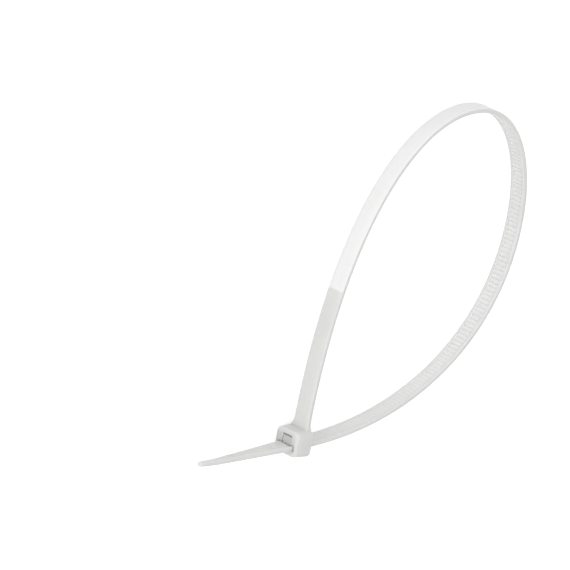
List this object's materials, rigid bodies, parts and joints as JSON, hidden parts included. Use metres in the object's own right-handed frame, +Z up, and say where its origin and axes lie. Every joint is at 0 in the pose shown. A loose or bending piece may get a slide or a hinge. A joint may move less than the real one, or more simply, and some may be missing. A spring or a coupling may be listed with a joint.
{
  "type": "cable tie",
  "caption": "Moulded plastic cable tie pulled closed into a wide loop, with a slotted head, a pawl, a toothed strap and a tapered tail.",
  "frame": {"origin": "under the middle of the whole outline, on the surface that the side of the head lies on", "axes": "+X across the loop, away from the tail; +Y from the head to the far end of the loop; +Z up, along the strap's width"},
  "size_m": [0.107, 0.088, 0.0076],
  "materials": {
    "nylon": "satin natural nylon, slightly translucent"
  },
  "bodies": {
    "root": {"cable_tie": "nylon"}
  },
  "joints": []
}
